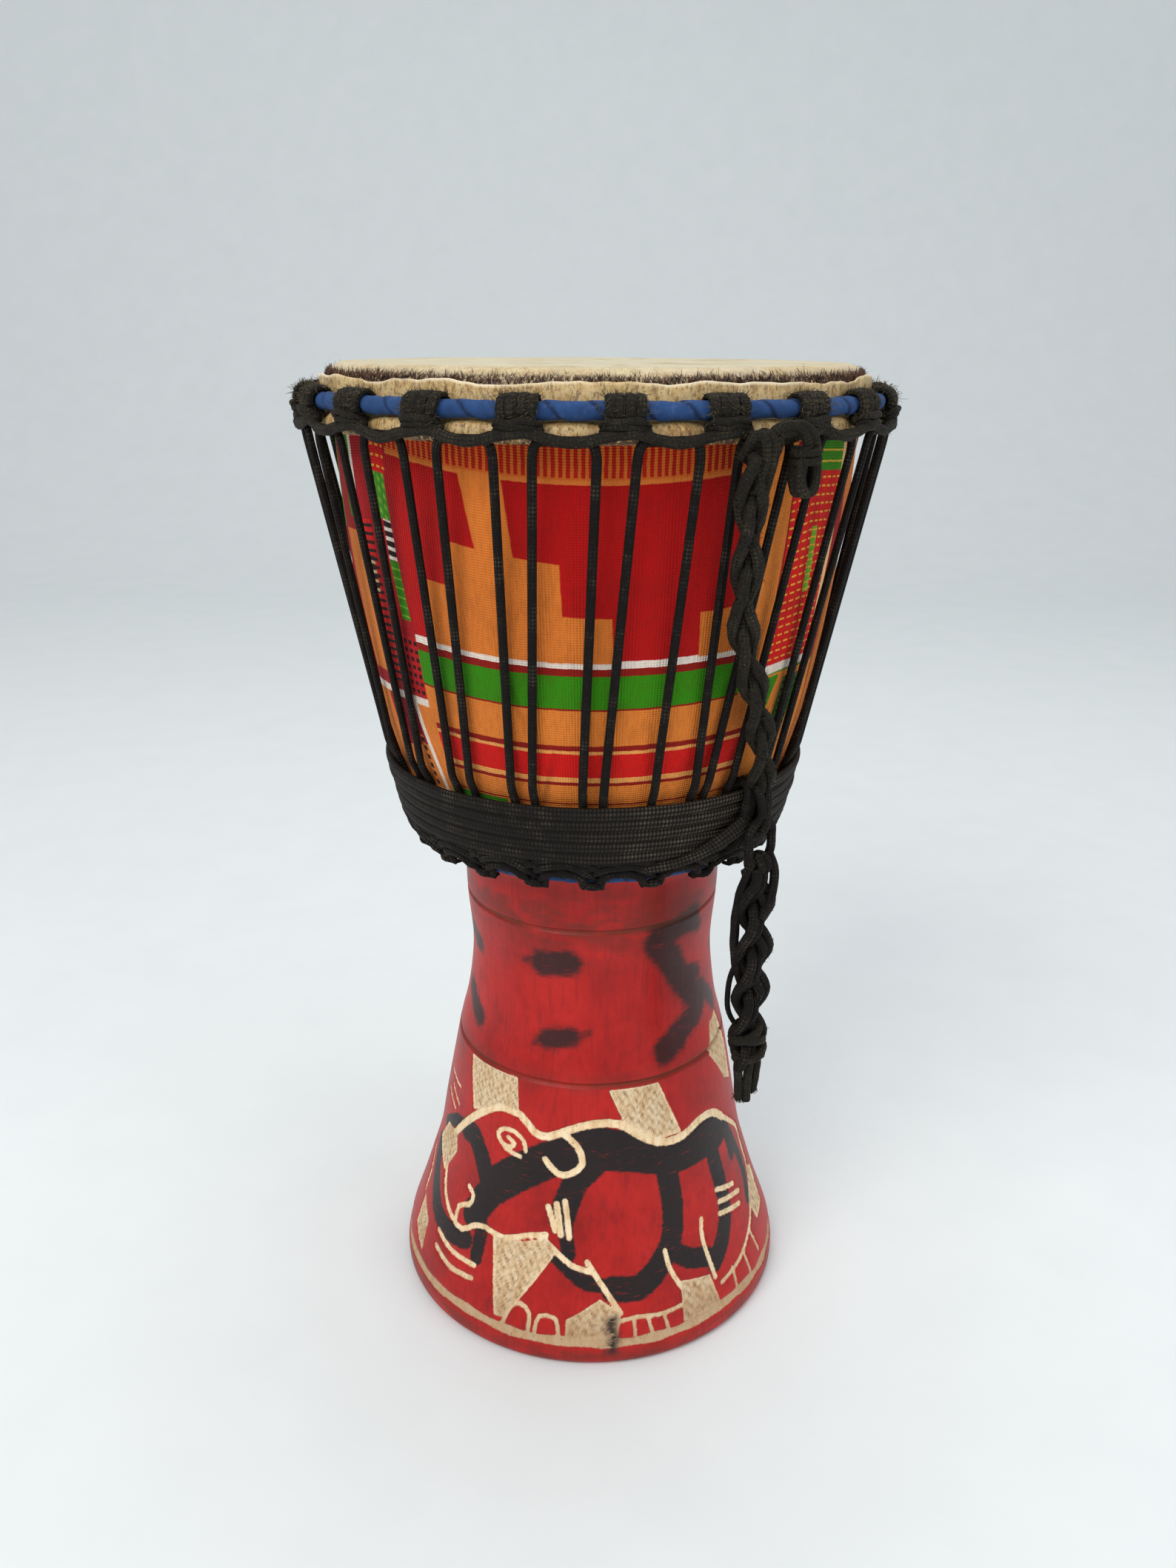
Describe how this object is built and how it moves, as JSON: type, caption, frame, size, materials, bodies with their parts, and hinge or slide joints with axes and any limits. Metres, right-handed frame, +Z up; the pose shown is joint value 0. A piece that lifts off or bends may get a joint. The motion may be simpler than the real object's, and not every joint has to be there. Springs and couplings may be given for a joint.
{
  "type": "djembe",
  "caption": "Goblet hand drum with a carved wooden shell, printed cloth on the bowl, a goatskin head and rope lacing, with a hanging plaited rope tail.",
  "frame": {"origin": "centre of the foot, on the floor", "axes": "+Z up along the drum's axis to the playing face; -Y is the front and +X is to the player's right when facing the front"},
  "size_m": [0.2886, 0.2885, 0.51],
  "materials": {
    "carved_wood": "carved wood, stained red, with bare and black-painted carving",
    "printed_cloth": "printed cotton in orange, crimson and green",
    "goatskin": "dry goatskin, mottled, with a fringe of dark hair",
    "steel_rod": "bare steel rod",
    "blue_cloth": "blue cotton strip, wound round the ring",
    "braided_rope": "black braided nylon rope, slightly fuzzy"
  },
  "bodies": {
    "drum": {"shell": "carved_wood", "cloth_cover": "printed_cloth", "drum_head": "goatskin", "flesh_ring": "steel_rod", "crown_ring": "steel_rod", "crown_ring_wrap": "blue_cloth", "lower_ring": "steel_rod", "lower_ring_wrap": "blue_cloth", "crown_hitches": "braided_rope", "crown_cradles": "braided_rope", "lacing_rope": "braided_rope", "lower_loops": "braided_rope", "binding_wrap": "braided_rope", "tie_knot": "braided_rope", "tie_tail": "braided_rope", "plait_upper": "braided_rope", "wrap_hitch": "braided_rope"},
    "link": {"tail_link": "braided_rope"},
    "tail": {"plait_lower": "braided_rope", "tail_end_knot": "braided_rope"}
  },
  "joints": [
    {"name": "link_swing", "type": "hinge", "parent": "drum", "child": "link", "pos_m": [0.07943, -0.08399, 0.3], "axis": [0.6871, -0.7266, 0], "range_deg": [-45, 45]},
    {"name": "tail_lift", "type": "hinge", "parent": "link", "child": "tail", "pos_m": [0.07943, -0.08399, 0.2824], "axis": [-0.7266, -0.6871, 0], "range_deg": [-10, 75]}
  ]
}
